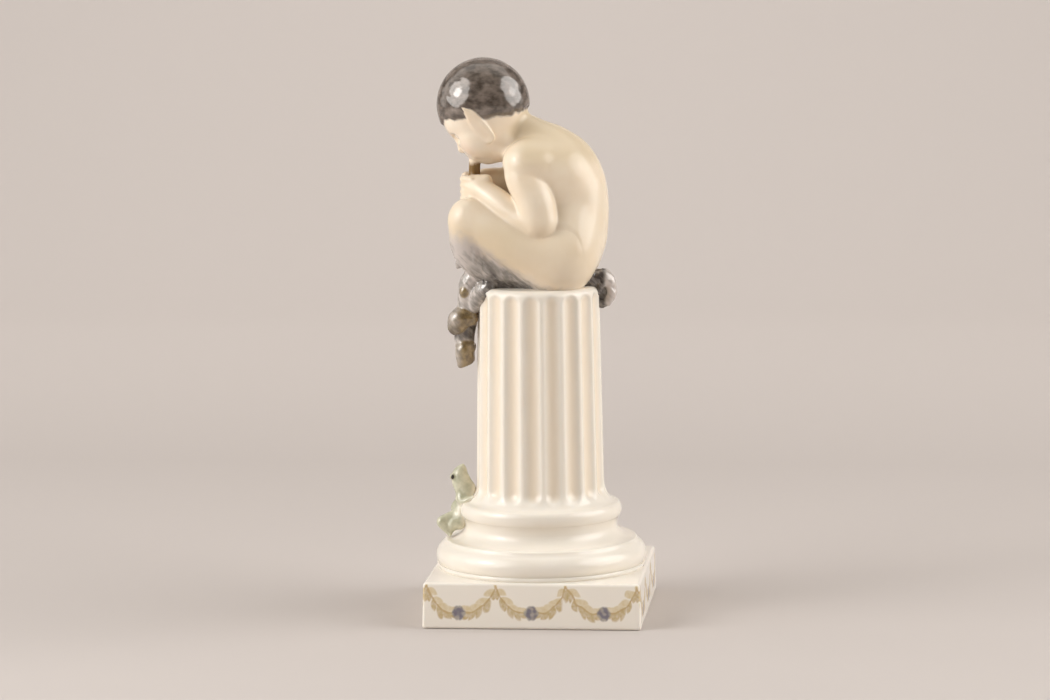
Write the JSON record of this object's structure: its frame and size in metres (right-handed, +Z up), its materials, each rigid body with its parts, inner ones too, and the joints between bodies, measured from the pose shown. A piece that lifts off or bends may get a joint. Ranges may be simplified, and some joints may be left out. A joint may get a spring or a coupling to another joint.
{
  "type": "porcelain figurine",
  "caption": "Glazed porcelain figurine: a young faun crouching on a fluted column plays a small pipe, with a lizard on the column's base and a square plinth with painted swags.",
  "frame": {"origin": "middle of the square plinth's foot, on the surface that it stands on", "axes": "+Z up; the faun faces -Y and its left side is +X"},
  "size_m": [0.0851, 0.0854, 0.2179],
  "materials": {
    "glazed_porcelain": "clear gloss glaze over ivory-white porcelain, with soft grey, brown and pale green painting under the glaze"
  },
  "bodies": {
    "root": {"faun_figurine": "glazed_porcelain"}
  },
  "joints": []
}
